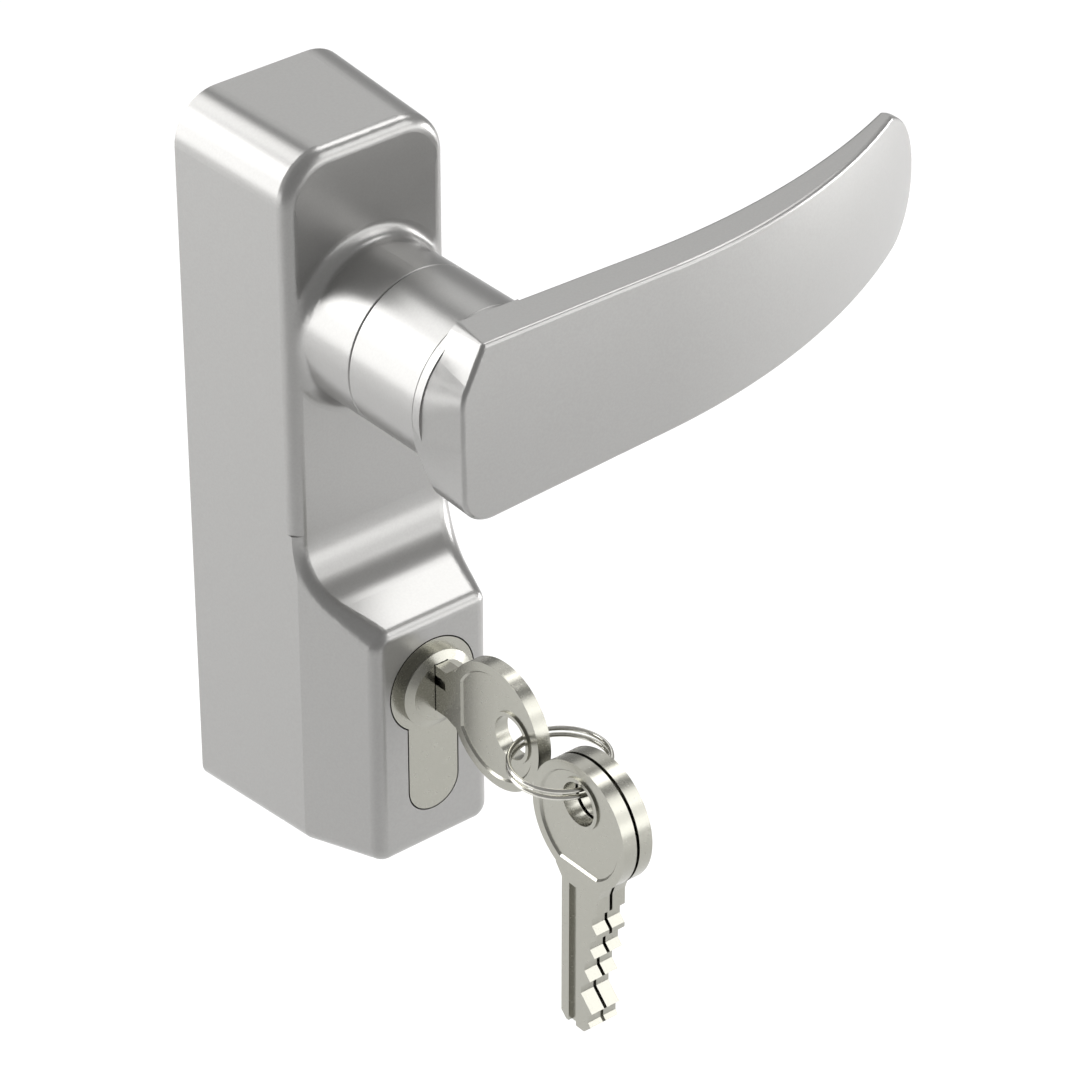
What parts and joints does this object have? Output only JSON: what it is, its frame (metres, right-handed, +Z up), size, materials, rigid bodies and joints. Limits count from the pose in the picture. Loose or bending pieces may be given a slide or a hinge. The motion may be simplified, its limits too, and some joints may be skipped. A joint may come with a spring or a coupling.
{
  "type": "panic exit lock",
  "caption": "Outside lever trim of a panic exit lock: narrow tapered housing, bent lever on a round boss, half profile cylinder with working key, ring and spare keys.",
  "frame": {"origin": "on the lever's axis at the plane of the door's face", "axes": "+X along the lever towards its tip, -Y out of the door towards the user, +Z up"},
  "size_m": [0.1174, 0.0928, 0.14],
  "materials": {
    "silver_casting": "satin silver grey lacquer on die-cast zinc",
    "nickel_brass": "satin nickel plating on brass",
    "bright_steel": "bright nickel-plated spring wire",
    "zinc_steel": "bright zinc plating",
    "spring_steel": "dark spring steel",
    "sintered_bronze": "oiled sintered bronze",
    "nylon": "natural nylon",
    "black_steel": "black oxide",
    "plain_brass": "plain turned brass"
  },
  "bodies": {
    "base": {"housing_shell": "silver_casting", "back_plate": "zinc_steel", "back_plate_screws": "zinc_steel", "fixing_pillars": "zinc_steel", "boss_bush": "sintered_bronze", "cylinder_body": "nickel_brass", "cylinder_screw": "black_steel", "driver_pins": "plain_brass", "pin_springs": "spring_steel", "chamber_plugs": "plain_brass", "lever_return_spring": "spring_steel", "slide_return_spring": "spring_steel", "plate_studs": "zinc_steel"},
    "lever": {"lever_handle": "silver_casting", "lever_neck": "silver_casting", "neck_screw": "black_steel", "neck_grub_screw": "black_steel", "thrust_washer": "nylon", "drive_hub": "zinc_steel"},
    "plug": {"cylinder_plug": "nickel_brass", "cylinder_cam": "zinc_steel", "plug_circlip": "spring_steel", "key_pins": "plain_brass"},
    "slide": {"lock_slide": "zinc_steel"},
    "key": {"working_key": "nickel_brass"},
    "ring": {"split_ring": "bright_steel"},
    "hanging_key_1": {"spare_key_1": "nickel_brass"},
    "hanging_key_2": {"spare_key_2": "nickel_brass"}
  },
  "joints": [
    {"name": "lever_turn", "type": "hinge", "parent": "base", "child": "lever", "pos_m": [0, 0, 0], "axis": [0, 1, 0], "range_deg": [0, 45], "stiffness_Nm_per_rad": 0.6, "springref_deg": -34.38, "deforming": ["lever_return_spring"]},
    {"name": "plug_turn", "type": "hinge", "parent": "base", "child": "plug", "pos_m": [0, 0, -0.06235], "axis": [0, 1, 0], "range_deg": [0, 90]},
    {"name": "lock_slide_travel", "type": "slide", "parent": "base", "child": "slide", "axis": [0, 0, 1], "range_m": [0, 0.009], "deforming": ["slide_return_spring"]},
    {"name": "key_slide", "type": "slide", "parent": "plug", "child": "key", "axis": [0, -1, 0], "range_m": [0, 0.036], "deforming": ["key_pins", "driver_pins", "pin_springs"]},
    {"name": "ring_swing", "type": "hinge", "parent": "key", "child": "ring", "pos_m": [0, -0.06555, -0.0602], "axis": [1, 0, 0], "range_deg": [-60, 0]},
    {"name": "spare_key_1_swing", "type": "hinge", "parent": "ring", "child": "hanging_key_1", "pos_m": [0, -0.08195, -0.0602], "axis": [1, 0, 0], "range_deg": [-90, 0]},
    {"name": "spare_key_2_swing", "type": "hinge", "parent": "ring", "child": "hanging_key_2", "pos_m": [0, -0.08195, -0.0602], "axis": [1, 0, 0], "range_deg": [-90, 0]}
  ],
  "couplings": [
    {"joint": "lock_slide_travel", "follows": "plug_turn", "m_per_rad": 0.005729}
  ]
}
